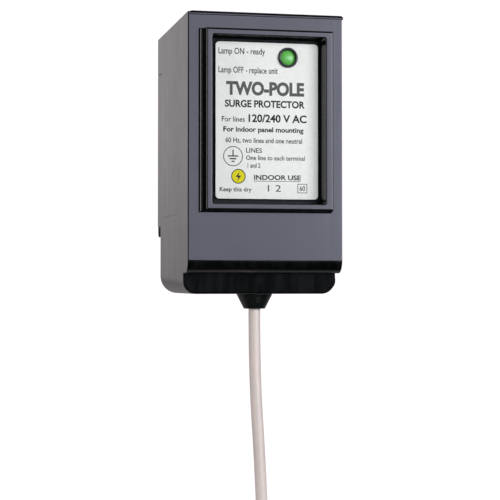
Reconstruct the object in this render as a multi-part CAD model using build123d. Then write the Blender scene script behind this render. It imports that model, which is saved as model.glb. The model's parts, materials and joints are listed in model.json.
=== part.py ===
from build123d import *
import os
from math import pi, radians, sin, tan

# Two-pole plug-on surge arrester for a load centre. Millimetres.
# +X right, -Y front, +Z up. The origin is the centre of the flat rear mounting face.

# ---- driving dimensions of the moulded case ----
WIDTH = 50.8  # two one-inch pole spaces
HEIGHT = 90.0
DEPTH = 62.2  # rear mounting face to front face
WALL = 2.0
REAR_HALF = 25.4  # half the height of the rear mounting face
TOP_Z = 38.4
COVER_DEPTH = 19.6  # front face to the parting line of the two shells
LOWER_DEPTH = 54.5  # depth of the cover below the rear base
SEAM_Z = -25.4  # underside of the rear base
TOP_SETBACK = 1.6  # the back above the mounting face is this much further forward
STRIP_DEPTH = 10.2  # the sides are relieved this far from the mounting face
STRIP_RELIEF = 0.25
HOOD_RISE = 6.7  # the hood ends this far above the bottom
HOOD_SETBACK = 9.0  # the lower end stands this far behind the front face
HOOD_ROUND = 4.3
HOOD_CORNER = 0.3
BOTTOM_ROUND_FRONT = 4.3  # the bottom edges' round grows towards the back
BOTTOM_ROUND_BACK = 6.0

HALF = WIDTH / 2
FRONT_Y = -DEPTH
BOTTOM_Z = TOP_Z - HEIGHT
HOOD_Z = BOTTOM_Z + HOOD_RISE
SETBACK_Y = FRONT_Y + HOOD_SETBACK
PARTING_Y = FRONT_Y + COVER_DEPTH
LOWER_BACK_Y = FRONT_Y + LOWER_DEPTH
REAR_INNER_Y = -TOP_SETBACK - WALL

# ---- label frame ----
FRAME_PROUD = 5.6
FRAME_X = 0.3
FRAME_LOW_Z, FRAME_HIGH_Z = -25.4, 32.85
FRAME_HALF = 21.55
FRAME_DRAFT = 0.9
FRAME_DRAFT_TOP = 0.3
WELL_HALF = 18.5
WELL_LOW_Z, WELL_HIGH_Z = -22.9, 30.4
WELL_DRAFT = 0.25  # of its top and bottom
WELL_SIDE_DRAFT = 0.9
WELL_MOUTH_CORNER = 0.6
WELL_FLOOR_CORNER = 1.2
WELL_ROUND = 0.5  # where its walls meet its floor
LABEL_X = 0.2
LABEL_HALF = 16.8
LABEL_LOW_Z, LABEL_HIGH_Z = -21.2, 28.9
LABEL_THICK = 0.4
LABEL_CORNER = 1.2
LABEL_Y = FRONT_Y - 0.95  # printed surface
WELL_Y = LABEL_Y + LABEL_THICK

# ---- indicator lamp ----
LAMP_X, LAMP_Z = 7.0, 24.3
LAMP_RADIUS = 2.4
LENS_SET_BACK = 0.35  # the lens starts this far behind the label's surface
LENS_RISE = 0.6
COLLAR_RADIUS = 3.25
COLLAR_SHANK = 2.8
COLLAR_PROUD = 0.7
COLLAR_BACK_Y = FRONT_Y + 3.0
LAMP_FLANGE = 2.8

# ---- screws and the posts they run in ----
POST_X = 20.4
POST_Z = (32.0, -19.0)
POST_RADIUS = 4.0
SCREW_RADIUS = 1.5
SCREW_CLEARANCE = 1.65
SCREW_HEAD_RADIUS = 2.7
SCREW_HEAD_THICK = 2.2
COUNTERBORE_RADIUS = 2.95
COUNTERBORE_END_Y = PARTING_Y + 6.0
SCREW_LENGTH = 16.0

# ---- circuit board and what stands on it ----
BOARD_Y = PARTING_Y - 2.0  # front face of the board
BOARD_THICK = 1.6
BOARD_HALF = 15.8
BOARD_LOW_Z, BOARD_HIGH_Z = -22.0, 34.6
BOARD_BACK_Y = BOARD_Y + BOARD_THICK
BOARD_SCREW_Z = (31.5, -19.0)
STANDOFF_RADIUS = 3.0
LEAD_Y = BOARD_BACK_Y + 4.2  # the neutral lead runs up behind the board here
LEAD_TOP_Z = -12.0
VARISTOR_RADIUS = 10.0
VARISTOR_THICK = 5.4
VARISTOR_X = 8.6
VARISTOR_Z = 3.0

# ---- plug-on jaws ----
POLE_X = WIDTH / 4
JAW_GAP = 1.9
FINGER_THICK = 1.2
FINGER_LOW_Z, FINGER_HIGH_Z = 22.0, 34.0
FINGER_X = JAW_GAP / 2 + FINGER_THICK / 2
HEEL_Y = -19.0
HEEL_RADIUS = 1.0
HEEL_CLEARANCE = 0.05
TIP_Y = -4.6
FLARE_LENGTH = 2.2
FLARE_OFFSET = 0.7
TERMINAL_FRONT_Y, TERMINAL_BACK_Y = -24.0, -18.0
TERMINAL_HALF = 3.5
CARRIER_THICK = 4.0
SLOT_HALF = 3.0
SLOT_LOW_Z = 19.0
SLOT_DEPTH = 14.0
SPRING_THICK = 0.7

# ---- rail hook ----
BLOCK_LOW_Z = -28.2
HOOK_LOW_Z = -31.8
HOOK_THICK = 1.2
HOOK_PRONG = 3.0
HOOK_CHAMFER = 1.0
HOOK_SIDE_GAP = 0.4

# ---- strain relief and cord ----
CORD_X, CORD_Y = 0.0, FRONT_Y + 17.0
CORD_RADIUS = 1.95
CONE_TOP_RADIUS = 6.0
CONE_LOW_RADIUS = 3.5
CONE_HEIGHT = 4.9
NECK_RADIUS = 5.2
FLANGE_RADIUS = 5.9
FLANGE_THICK = 1.5
PIN_RADIUS = 0.9
PIN_Z = BOTTOM_Z - 1.7
CORD_LENGTH = 480.0  # 19 inches, strain relief to the end of the insulation
COIL_RADIUS = 19.5
COIL_TURNS = 3
COIL_PITCH = 4.0
STRIP_LENGTH = 12.0
STRAND_RADIUS = 1.2
COIL_Z = -148.0
EXIT = (CORD_X, CORD_Y, BOTTOM_Z - CONE_HEIGHT)
ROUTE = [EXIT, (0.0, CORD_Y, -78.0), (1.97, CORD_Y, -108.0), (3.35, CORD_Y, -140.0)]
COIL_Y = CORD_Y + COIL_RADIUS
COIL_START_X = ROUTE[-1][0] + 0.2
TAIL_X = COIL_START_X + COIL_TURNS * COIL_PITCH
TAIL_TOP_Z = COIL_Z - 4.0


# ---- helpers ----
def block(x, y, z):
    """A box from three (low, high) pairs."""
    centre = [(low + high) / 2 for low, high in (x, y, z)]
    return Pos(*centre) * Box(*(high - low for low, high in (x, y, z)))


def across(half, y, z):
    return block((-half, half), y, z)


def rod_y(x, z, y_low, y_high, radius):
    return Pos(x, (y_low + y_high) / 2, z) * Rot(90, 0, 0) * Cylinder(radius, y_high - y_low)


def rod_z(x, y, z_low, z_high, radius):
    return Pos(x, y, (z_low + z_high) / 2) * Cylinder(radius, z_high - z_low)


def rod_x(y, z, x_low, x_high, radius):
    return Pos((x_low + x_high) / 2, y, z) * Rot(0, 90, 0) * Cylinder(radius, x_high - x_low)


def round_bottom(shape, axis, radius, front_only=False):
    """Round the lowest edges that run along axis, or only the front one of them."""
    edges = shape.edges().filter_by(axis).group_by(Axis.Z)[0]
    if front_only:
        edges = edges.sort_by(Axis.Y)[:1]
    return fillet(edges, radius)


def front_plane(y, z_low, z_high):
    return Plane(origin=(0, y, (z_low + z_high) / 2), x_dir=(1, 0, 0), z_dir=(0, -1, 0))


# ---- case ----
def corner_waste(side, y, inset, radius):
    """The flat corner that a round takes off a bottom edge at y."""
    x, z = side * (HALF - inset), BOTTOM_Z + inset
    centre_x, centre_z = x - side * radius, z + radius
    reach = radius * sin(pi / 4)
    corner, above, beside = (x, y, z), (x, y, centre_z), (centre_x, y, z)
    middle = (centre_x + side * reach, y, centre_z - reach)
    return make_face([Line(corner, above), ThreePointArc(above, middle, beside), Line(beside, corner)])


def bottom_waste(side, inset):
    """What the growing round takes off one whole bottom edge."""
    span = (SETBACK_Y, BOTTOM_ROUND_FRONT - inset), (LOWER_BACK_Y, BOTTOM_ROUND_BACK - inset)
    return loft([corner_waste(side, y, inset, radius) for y, radius in span])


def case_end(inset):
    """The lower end of the case, from the set-back front to the back, with round bottom edges."""
    half, front = HALF - inset, SETBACK_Y + inset
    end = across(half, (front, PARTING_Y), (BOTTOM_Z + inset, TOP_Z - inset))
    end += across(half, (front, LOWER_BACK_Y), (BOTTOM_Z + inset, SEAM_Z))
    return end - bottom_waste(-1, inset) - bottom_waste(1, inset)


def case_hood(inset):
    """The deep upper part of the cover, whose lower front edge is rounded over."""
    size = (FRONT_Y + inset, SETBACK_Y + inset), (HOOD_Z + inset, TOP_Z - inset)
    plain = across(HALF - inset, *size)
    rolled = round_bottom(plain, Axis.X, HOOD_ROUND - inset, front_only=True)
    return rolled & round_bottom(plain, Axis.Y, max(HOOD_CORNER - inset, 0.2))


def label_frame():
    base = front_plane(FRONT_Y, FRAME_LOW_Z, FRAME_HIGH_Z) * Rectangle(
        2 * FRAME_HALF, FRAME_HIGH_Z - FRAME_LOW_Z
    )
    low, high = FRAME_LOW_Z + FRAME_DRAFT, FRAME_HIGH_Z - FRAME_DRAFT_TOP
    rim = front_plane(FRONT_Y - FRAME_PROUD, low, high) * Rectangle(
        2 * (FRAME_HALF - FRAME_DRAFT), high - low
    )
    return Pos(FRAME_X, 0, 0) * loft([base, rim])


def label_well():
    mouth = front_plane(FRONT_Y - FRAME_PROUD - 0.01, WELL_LOW_Z, WELL_HIGH_Z) * RectangleRounded(
        2 * WELL_HALF, WELL_HIGH_Z - WELL_LOW_Z, WELL_MOUTH_CORNER
    )
    low, high = WELL_LOW_Z + WELL_DRAFT, WELL_HIGH_Z - WELL_DRAFT
    floor = front_plane(WELL_Y, low, high) * RectangleRounded(
        2 * (WELL_HALF - WELL_SIDE_DRAFT), high - low, WELL_FLOOR_CORNER
    )
    well = loft([mouth, floor])
    return fillet(well.faces().sort_by(Axis.Y)[-1].edges(), WELL_ROUND)


def front_cover():
    cover = case_hood(0) + case_end(0) - case_hood(WALL) - case_end(WALL)
    cover += label_frame()
    cover -= label_well()
    for x in (-POST_X, POST_X):
        for z in POST_Z:
            cover += rod_y(x, z, FRONT_Y + WALL, PARTING_Y, POST_RADIUS)
            cover -= rod_y(x, z, PARTING_Y - SCREW_LENGTH, PARTING_Y, SCREW_RADIUS)
    for z in BOARD_SCREW_Z:
        cover += rod_y(0, z, FRONT_Y + WALL, BOARD_Y, STANDOFF_RADIUS)
        cover -= rod_y(0, z, BOARD_Y - 6, BOARD_Y, SCREW_RADIUS)
    cover -= rod_y(LAMP_X, LAMP_Z, FRONT_Y - 2, FRONT_Y + 4, COLLAR_SHANK)
    cover -= rod_z(CORD_X, CORD_Y, BOTTOM_Z - 1, BOTTOM_Z + WALL + 1, NECK_RADIUS)
    return cover


def stab_slot(x):
    """The way in for a bus stab, open at the back and at the top."""
    return block(
        (x - SLOT_HALF, x + SLOT_HALF), (-SLOT_DEPTH, 1), (SLOT_LOW_Z, TOP_Z + 1)
    )


def rear_base():
    base = across(HALF, (PARTING_Y, -TOP_SETBACK), (SEAM_Z, TOP_Z))
    base -= across(
        HALF - WALL, (PARTING_Y - 1, REAR_INNER_Y), (SEAM_Z + WALL, TOP_Z - WALL)
    )
    for side in (-1, 1):
        relief = sorted((side * (HALF - STRIP_RELIEF), side * (HALF + 1)))
        base -= block(relief, (-STRIP_DEPTH, 1), (SEAM_Z - 5, REAR_HALF))
    pad_half = HALF - STRIP_RELIEF
    base += across(pad_half, (-TOP_SETBACK, 0), (SEAM_Z, REAR_HALF))
    base += across(pad_half, (LOWER_BACK_Y, 0), (BLOCK_LOW_Z, SEAM_Z))
    tail = across(
        HALF - WALL,
        (LOWER_BACK_Y - WALL, LOWER_BACK_Y),
        (BOTTOM_Z + WALL, SEAM_Z + WALL),
    )
    base += round_bottom(tail, Axis.Y, BOTTOM_ROUND_BACK - WALL)
    base -= across(8, (PARTING_Y + 1, -30), (SEAM_Z - 1, SEAM_Z + WALL + 1))
    for x in (-POST_X, POST_X):
        for z in POST_Z:
            base += rod_y(x, z, PARTING_Y, REAR_INNER_Y, POST_RADIUS)
            base -= rod_y(x, z, PARTING_Y - 1, 1, SCREW_CLEARANCE)
            base -= rod_y(x, z, COUNTERBORE_END_Y, 1, COUNTERBORE_RADIUS)
    for x in (-POLE_X, POLE_X):
        base -= stab_slot(x)
        base -= rod_z(x, -5.3, BLOCK_LOW_Z - 1, BLOCK_LOW_Z + 2, 1.0)
    return base


def cover_screws():
    """Four pan-head screws, put in from the back through deep counterbores."""
    screws = []
    for x in (-POST_X, POST_X):
        for z in POST_Z:
            tip = COUNTERBORE_END_Y - SCREW_LENGTH
            shank = rod_y(x, z, tip, COUNTERBORE_END_Y, SCREW_RADIUS)
            head_end = COUNTERBORE_END_Y + SCREW_HEAD_THICK
            head = rod_y(x, z, COUNTERBORE_END_Y, head_end, SCREW_HEAD_RADIUS)
            head -= block((x - 1.9, x + 1.9), (head_end - 1.1, head_end + 1), (z - 0.35, z + 0.35))
            head -= block((x - 0.35, x + 0.35), (head_end - 1.1, head_end + 1), (z - 1.9, z + 1.9))
            screws.append(shank + head)
    return Compound(children=screws)


def rail_hook():
    """A hook that catches the panel's rail, with a prong for each pole."""
    half = HALF - HOOK_SIDE_GAP
    hook = across(half, (-7.2, 0), (BLOCK_LOW_Z - HOOK_THICK, BLOCK_LOW_Z))
    prongs = across(half, (-HOOK_PRONG, 0), (HOOK_LOW_Z, BLOCK_LOW_Z - HOOK_THICK))
    prongs -= across(6, (-HOOK_PRONG - 1, 1), (HOOK_LOW_Z - 1, BLOCK_LOW_Z - HOOK_THICK))
    low_rear = prongs.edges().filter_by(Axis.X).group_by(Axis.Z)[0].group_by(Axis.Y)[-1]
    hook += chamfer(low_rear, HOOK_CHAMFER)
    for x in (-POLE_X, POLE_X):
        hook -= rod_z(x, -5.3, BLOCK_LOW_Z - 3, BLOCK_LOW_Z + 1, 1.0)
    return hook


def hook_rivets():
    rivets = []
    for x in (-POLE_X, POLE_X):
        low = BLOCK_LOW_Z - HOOK_THICK
        shank = rod_z(x, -5.3, low, BLOCK_LOW_Z + 2, 1.0)
        rivets.append(shank + rod_z(x, -5.3, low - 0.6, low, 1.7))
    return Compound(children=rivets)


# ---- label and lamp ----
def label_plate():
    outline = front_plane(WELL_Y, LABEL_LOW_Z, LABEL_HIGH_Z) * RectangleRounded(
        2 * LABEL_HALF, LABEL_HIGH_Z - LABEL_LOW_Z, LABEL_CORNER
    )
    outline = Pos(LABEL_X, 0, 0) * outline
    plate = extrude(outline, LABEL_THICK)
    return plate - rod_y(LAMP_X, LAMP_Z, LABEL_Y - 1, WELL_Y + 1, COLLAR_SHANK)


def lamp_ring():
    ring = rod_y(LAMP_X, LAMP_Z, LABEL_Y - COLLAR_PROUD, LABEL_Y, COLLAR_RADIUS)
    ring += rod_y(LAMP_X, LAMP_Z, LABEL_Y, COLLAR_BACK_Y, COLLAR_SHANK)
    return ring - rod_y(LAMP_X, LAMP_Z, LABEL_Y - 2, COLLAR_BACK_Y + 1, LAMP_RADIUS)


def indicator_lamp():
    """A lamp with a low domed lens, whose flange stops behind the collar."""
    nose_y = LABEL_Y + LENS_SET_BACK
    lamp = rod_y(LAMP_X, LAMP_Z, nose_y, COLLAR_BACK_Y, LAMP_RADIUS)
    lamp += rod_y(LAMP_X, LAMP_Z, COLLAR_BACK_Y, COLLAR_BACK_Y + 1.2, LAMP_FLANGE)
    dome_radius = (LAMP_RADIUS**2 + LENS_RISE**2) / (2 * LENS_RISE)
    dome = Pos(LAMP_X, nose_y - LENS_RISE + dome_radius, LAMP_Z) * Sphere(dome_radius)
    return lamp + (dome & rod_y(LAMP_X, LAMP_Z, nose_y - 3, nose_y, LAMP_RADIUS))


def lamp_leads():
    leads = [
        rod_y(LAMP_X + side * 1.27, LAMP_Z, COLLAR_BACK_Y + 1.2, BOARD_Y, 0.3)
        for side in (-1, 1)
    ]
    return Compound(children=leads)


# ---- circuit board ----
def circuit_board():
    board = across(BOARD_HALF, (BOARD_Y, BOARD_BACK_Y), (BOARD_LOW_Z, BOARD_HIGH_Z))
    for z in BOARD_SCREW_Z:
        board -= rod_y(0, z, BOARD_Y - 1, BOARD_BACK_Y + 1, SCREW_CLEARANCE)
    return board


def board_screws():
    screws = []
    for z in BOARD_SCREW_Z:
        shank = rod_y(0, z, BOARD_Y - 5, BOARD_BACK_Y, SCREW_RADIUS)
        head_end = BOARD_BACK_Y + 1.8
        head = rod_y(0, z, BOARD_BACK_Y, head_end, SCREW_HEAD_RADIUS)
        head -= block((-1.9, 1.9), (head_end - 0.9, head_end + 1), (z - 0.35, z + 0.35))
        screws.append(shank + head)
    return Compound(children=screws)


def varistor(side):
    """A coated disc that stands edge-on to the board on two wires."""
    x = side * VARISTOR_X
    centre_y = BOARD_BACK_Y + 2.5 + VARISTOR_RADIUS
    disc = rod_x(centre_y, VARISTOR_Z, x - VARISTOR_THICK / 2, x + VARISTOR_THICK / 2, VARISTOR_RADIUS)
    disc = fillet(disc.edges().filter_by(GeomType.CIRCLE), 1.2)
    for z in (VARISTOR_Z - 3.75, VARISTOR_Z + 3.75):
        disc += rod_y(x, z, BOARD_BACK_Y, centre_y - 5, 0.5)
    return disc


def axial_part(x, z, length, radius, wire=0.35):
    """A round body that lies along the board, with a bent wire at each end."""
    y = BOARD_BACK_Y + radius + 0.6
    reach = length / 2 + 1.5
    part = rod_z(x, y, z - length / 2, z + length / 2, radius)
    part += rod_z(x, y, z - reach, z + reach, wire)
    for end in (z - reach, z + reach):
        part += rod_y(x, end, BOARD_BACK_Y, y, wire) + Pos(x, y, end) * Sphere(wire)
    return part


def lamp_resistors():
    return Compound(children=[axial_part(x, 19.5, 6.0, 1.1) for x in (-3.2, 3.2)])


# ---- jaws ----
def jaw_terminal(side):
    """A copper block with a round socket for the heel of each contact finger."""
    x = side * POLE_X
    span = (FINGER_LOW_Z, FINGER_HIGH_Z)
    body = block((x - TERMINAL_HALF, x + TERMINAL_HALF), (TERMINAL_FRONT_Y, TERMINAL_BACK_Y), span)
    for offset in (-FINGER_X, FINGER_X):
        centre = x + offset
        body -= rod_z(centre, HEEL_Y, span[0] - 1, span[1] + 1, HEEL_RADIUS + HEEL_CLEARANCE)
        body -= block(
            (centre - 0.85, centre + 0.85), (HEEL_Y, TERMINAL_BACK_Y + 1), (span[0] - 1, span[1] + 1)
        )
    return body


def jaw_finger(x, offset):
    """A contact finger: a round heel, a flat leaf and a tip that flares away from the stab."""
    centre = x + offset
    outward = 1 if offset > 0 else -1
    half = FINGER_THICK / 2
    bend_y = TIP_Y - FLARE_LENGTH
    with BuildSketch(Plane.XY.offset(FINGER_LOW_Z)) as outline:
        with BuildLine():
            shift = outward * FLARE_OFFSET
            Polyline(
                (centre - half, HEEL_Y),
                (centre + half, HEEL_Y),
                (centre + half, bend_y),
                (centre + half + shift, TIP_Y),
                (centre - half + shift, TIP_Y),
                (centre - half, bend_y),
                close=True,
            )
        make_face()
    leaf = extrude(outline.sketch, FINGER_HIGH_Z - FINGER_LOW_Z)
    return leaf + rod_z(centre, HEEL_Y, FINGER_LOW_Z, FINGER_HIGH_Z, HEEL_RADIUS)


def jaw_spring(side):
    """A steel clip that bridges the two fingers and presses them together."""
    x = side * POLE_X
    inner = JAW_GAP / 2 + FINGER_THICK
    outer = inner + SPRING_THICK
    bridge_z = FINGER_HIGH_Z + 0.4
    clip = block((x - outer, x + outer), (-14, -9), (FINGER_LOW_Z + 3, bridge_z + SPRING_THICK))
    return clip - block((x - inner, x + inner), (-15, -8), (FINGER_LOW_Z + 2, bridge_z))


def jaw_carrier():
    """A moulded plate with two legs that holds both terminal blocks off the back wall."""
    top = TOP_Z - WALL
    low = FINGER_LOW_Z - 2
    front = TERMINAL_FRONT_Y - CARRIER_THICK
    carrier = across(BOARD_HALF, (front, TERMINAL_FRONT_Y), (low, top))
    for side in (-1, 1):
        leg = sorted((side * 5.6, side * 7.2))
        carrier += block(leg, (TERMINAL_FRONT_Y, REAR_INNER_Y), (low, top))
    return carrier


def pole_barrier():
    return across(0.8, (TERMINAL_FRONT_Y, REAR_INNER_Y), (SLOT_LOW_Z, TOP_Z - WALL))


def line_lead(side):
    """A bent copper strip from the underside of a terminal block down and forward to the board."""
    x = side * POLE_X
    low = FINGER_LOW_Z - 4
    strip = block((x - 1.5, x + 1.5), (TERMINAL_FRONT_Y + 1, TERMINAL_FRONT_Y + 2), (low, FINGER_LOW_Z))
    return strip + block((x - 1.5, x + 1.5), (BOARD_BACK_Y, TERMINAL_FRONT_Y + 2), (low - 1, low))


# ---- neutral side ----
def neutral_terminal():
    """A brass clamp on the board that takes the inner end of the cord."""
    body = block((-3.5, 3.5), (BOARD_BACK_Y, LEAD_Y + 3), (-15.5, -8.5))
    return body - rod_z(CORD_X, LEAD_Y, -16, LEAD_TOP_Z, CORD_RADIUS)


def neutral_lead_path():
    """Up from the strain relief, back to the terminal and up into it, inside the case."""
    low = (CORD_X, CORD_Y, EXIT[2])
    bend_low = (CORD_X, CORD_Y, -36.0)
    bend_high = (CORD_X, LEAD_Y, -28.0)
    top = (CORD_X, LEAD_Y, LEAD_TOP_Z)
    return FilletPolyline(low, bend_low, bend_high, top, radius=5.0)


def swept_round(path, radius):
    section = Plane(origin=path @ 0, z_dir=path % 0) * Circle(radius)
    return sweep(section, path=path)


def neutral_lead():
    return swept_round(neutral_lead_path(), CORD_RADIUS)


def strain_relief():
    """A cone below the bottom, a neck through it and a flange inside."""
    cone = Pos(CORD_X, CORD_Y, BOTTOM_Z - CONE_HEIGHT / 2) * Cone(
        CONE_LOW_RADIUS, CONE_TOP_RADIUS, CONE_HEIGHT
    )
    relief = cone + rod_z(CORD_X, CORD_Y, BOTTOM_Z, BOTTOM_Z + WALL, NECK_RADIUS)
    flange_z = BOTTOM_Z + WALL
    relief += rod_z(CORD_X, CORD_Y, flange_z, flange_z + FLANGE_THICK, FLANGE_RADIUS)
    relief -= rod_z(CORD_X, CORD_Y, BOTTOM_Z - 10, BOTTOM_Z + 10, CORD_RADIUS)
    return relief - rod_y(CORD_X, PIN_Z, CORD_Y - 8, CORD_Y - 2.6, PIN_RADIUS)


def strain_relief_pin():
    return rod_y(CORD_X, PIN_Z, CORD_Y - 5.4, CORD_Y - 2.6, PIN_RADIUS)


# ---- cord ----
def route_radii(points):
    """Each corner's arc is as large as its two runs allow."""
    radii = []
    for before, corner, after in zip(points, points[1:], points[2:]):
        into, out = Vector(corner) - Vector(before), Vector(after) - Vector(corner)
        half_turn = radians(into.get_angle(out)) / 2
        radii.append(0.45 * min(into.length, out.length) / tan(half_turn))
    return radii


def pigtail_path():
    return FilletPolyline(*ROUTE, radius=route_radii(ROUTE))


def pigtail_cord():
    return swept_round(pigtail_path(), CORD_RADIUS)


def pigtail_hank():
    """The outer shape of the coil that the rest of the cord is wound into."""
    low = COIL_START_X - CORD_RADIUS - 0.1
    high = TAIL_X + CORD_RADIUS + 0.1
    ring = rod_x(COIL_Y, COIL_Z, low, high, COIL_RADIUS + CORD_RADIUS + 0.1)
    ring -= rod_x(COIL_Y, COIL_Z, low - 1, high + 1, COIL_RADIUS - CORD_RADIUS - 0.1)
    ring = fillet(ring.edges().filter_by(GeomType.CIRCLE), 1.2)
    return ring - pigtail_cord() - pigtail_tail()


def hank_tie():
    """A band round the coil at its top."""
    low = COIL_START_X - CORD_RADIUS - 0.3
    high = TAIL_X + CORD_RADIUS + 0.3
    inner = COIL_Z + COIL_RADIUS - CORD_RADIUS - 0.7
    outer = COIL_Z + COIL_RADIUS + CORD_RADIUS + 0.3
    band = block((low - 1, high + 1), (COIL_Y - 2.2, COIL_Y + 2.2), (inner - 1, outer + 1))
    return band - block((low, high), (COIL_Y - 3, COIL_Y + 3), (inner, outer))


def tail_length():
    """What is left of the cord after its straight stretch and its turns."""
    hanging = pigtail_path().length + ROUTE[-1][2] - TAIL_TOP_Z
    return CORD_LENGTH - hanging - COIL_TURNS * 2 * pi * COIL_RADIUS


def pigtail_tail():
    return rod_z(TAIL_X, CORD_Y, TAIL_TOP_Z - tail_length(), TAIL_TOP_Z, CORD_RADIUS)


def stripped_end():
    top = TAIL_TOP_Z - tail_length()
    return rod_z(TAIL_X, CORD_Y, top - STRIP_LENGTH, top, STRAND_RADIUS)


def pole_pair(name, maker):
    return {f"{name}_left": maker(-1), f"{name}_right": maker(1)}


def make_parts():
    parts = {
        "front_cover": front_cover(),
        "rear_base": rear_base(),
        "cover_screws": cover_screws(),
        "rail_hook": rail_hook(),
        "hook_rivets": hook_rivets(),
        "label_plate": label_plate(),
        "lamp_ring": lamp_ring(),
        "indicator_lamp": indicator_lamp(),
        "lamp_leads": lamp_leads(),
        "circuit_board": circuit_board(),
        "board_screws": board_screws(),
        "lamp_resistors": lamp_resistors(),
        "lamp_diode": axial_part(0, 12.5, 4.2, 1.2),
        "jaw_carrier": jaw_carrier(),
        "pole_barrier": pole_barrier(),
        "neutral_terminal": neutral_terminal(),
        "neutral_lead": neutral_lead(),
        "strain_relief": strain_relief(),
        "strain_relief_pin": strain_relief_pin(),
        "pigtail_cord": pigtail_cord(),
        "pigtail_hank": pigtail_hank(),
        "hank_tie": hank_tie(),
        "pigtail_tail": pigtail_tail(),
        "stripped_end": stripped_end(),
    }
    parts |= pole_pair("varistor", varistor)
    parts |= pole_pair("thermal_fuse", lambda side: axial_part(side * 11.5, -14.5, 8.0, 1.9, 0.5))
    parts |= pole_pair("jaw_terminal", jaw_terminal)
    parts |= pole_pair("jaw_spring", jaw_spring)
    parts |= pole_pair("line_lead", line_lead)
    for side, word in ((-1, "left"), (1, "right")):
        parts[f"jaw_finger_{word}_outer"] = jaw_finger(side * POLE_X, side * FINGER_X)
        parts[f"jaw_finger_{word}_inner"] = jaw_finger(side * POLE_X, -side * FINGER_X)
    return parts


def main():
    os.makedirs("parts", exist_ok=True)
    for name, shape in make_parts().items():
        export_step(shape, f"parts/{name}.step")
    path = pigtail_path()
    print("arc radii", [round(radius, 1) for radius in route_radii(ROUTE)])
    print("tube volume over section times length")
    print(pigtail_cord().volume / (pi * CORD_RADIUS**2 * path.length))
    print("tail length", round(tail_length(), 2))


main()
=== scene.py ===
import json
from math import cos, pi, radians, sin, tan

import bmesh
import bpy
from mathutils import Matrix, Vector

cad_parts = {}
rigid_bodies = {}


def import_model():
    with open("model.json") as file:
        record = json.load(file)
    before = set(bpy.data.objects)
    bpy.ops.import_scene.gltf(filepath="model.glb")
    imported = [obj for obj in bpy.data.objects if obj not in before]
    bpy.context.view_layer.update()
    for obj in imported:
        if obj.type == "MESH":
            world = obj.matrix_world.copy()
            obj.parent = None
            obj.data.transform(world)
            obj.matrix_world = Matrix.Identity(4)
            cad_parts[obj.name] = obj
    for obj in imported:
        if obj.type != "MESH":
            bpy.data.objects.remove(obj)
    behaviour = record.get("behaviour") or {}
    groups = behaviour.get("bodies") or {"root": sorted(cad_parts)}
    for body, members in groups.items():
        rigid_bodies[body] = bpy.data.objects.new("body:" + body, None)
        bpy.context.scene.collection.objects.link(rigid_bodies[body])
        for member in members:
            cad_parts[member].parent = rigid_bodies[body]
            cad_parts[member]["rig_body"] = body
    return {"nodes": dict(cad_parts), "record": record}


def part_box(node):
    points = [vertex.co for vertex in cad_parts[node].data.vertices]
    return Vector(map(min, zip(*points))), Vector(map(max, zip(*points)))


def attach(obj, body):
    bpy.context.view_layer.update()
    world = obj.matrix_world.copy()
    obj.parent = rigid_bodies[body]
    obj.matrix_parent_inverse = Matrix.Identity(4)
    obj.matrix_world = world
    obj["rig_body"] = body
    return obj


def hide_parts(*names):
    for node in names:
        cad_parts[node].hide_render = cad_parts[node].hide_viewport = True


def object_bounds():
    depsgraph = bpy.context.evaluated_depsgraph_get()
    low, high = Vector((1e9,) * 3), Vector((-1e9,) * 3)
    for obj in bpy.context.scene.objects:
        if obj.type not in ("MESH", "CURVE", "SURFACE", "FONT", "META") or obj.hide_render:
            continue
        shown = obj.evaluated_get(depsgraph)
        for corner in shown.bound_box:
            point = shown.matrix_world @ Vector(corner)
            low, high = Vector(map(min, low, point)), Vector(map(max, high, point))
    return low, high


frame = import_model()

cad_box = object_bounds()
MM = 0.001

# ---- places that the frame gives ----
COVER_LOW, COVER_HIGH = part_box("front_cover")
LABEL_LOW, LABEL_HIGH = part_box("label_plate")
TIE_LOW, TIE_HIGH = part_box("hank_tie")
TAIL_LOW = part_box("pigtail_tail")[0]
BARE_LOW, BARE_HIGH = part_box("stripped_end")

# ---- the case, as part.py has it ----
FRAME_PROUD = 5.6 * MM
HOOD_RISE = 6.7 * MM
HOOD_SETBACK = 9.0 * MM
HOOD_ROUND = 4.3 * MM
FRAME_DRAFT = 0.9 * MM
FRONT_Y = COVER_LOW.y + FRAME_PROUD
SETBACK_Y = FRONT_Y + HOOD_SETBACK
HOOD_Z = COVER_LOW.z + HOOD_RISE
WELL_HALF = 18.5 * MM
WELL_LOW_Z, WELL_HIGH_Z = COVER_LOW.z + 28.7 * MM, COVER_HIGH.z - 8.0 * MM

# ---- cord: the route's points, and the coil's size ----
CORD_RADIUS = 1.95 * MM
ROUTE = [(0.0, -0.0452, -0.0565), (0.0, -0.0452, -0.078), (0.00197, -0.0452, -0.108)]
COIL_RADIUS = 19.5 * MM
COIL_TURNS = 3
COIL_PITCH = 4.0 * MM
COIL_START = Vector((0.00355, -0.0452, -0.148))
POINTS_PER_TURN = 12


# ---- camera and cord ----
def add_camera():
    """Where the object is seen from: low, to the left of its front."""
    data = bpy.data.cameras.new("view")
    data.lens = 110.95
    data.sensor_width = 36
    camera = bpy.data.objects.new("view", data)
    camera.location = (COVER_LOW.x - 0.0857, FRONT_Y - 0.4804, COVER_LOW.z + 0.0038)
    camera.rotation_euler = (radians(91.2), 0, radians(-12.43))
    bpy.context.scene.collection.objects.link(camera)
    bpy.context.scene.camera = camera


def coil_points():
    """Corners of the polygon that the coil's turns touch, from the front, down and round."""
    step = 2 * pi / POINTS_PER_TURN
    reach = COIL_RADIUS / cos(step / 2)
    points = []
    for count in range(COIL_TURNS * POINTS_PER_TURN + 1):
        angle = (count - 0.5) * step
        points.append(
            (
                COIL_START.x + COIL_PITCH * angle / (2 * pi),
                COIL_START.y + COIL_RADIUS - reach * cos(angle),
                COIL_START.z - reach * sin(angle),
            )
        )
    return points


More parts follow.
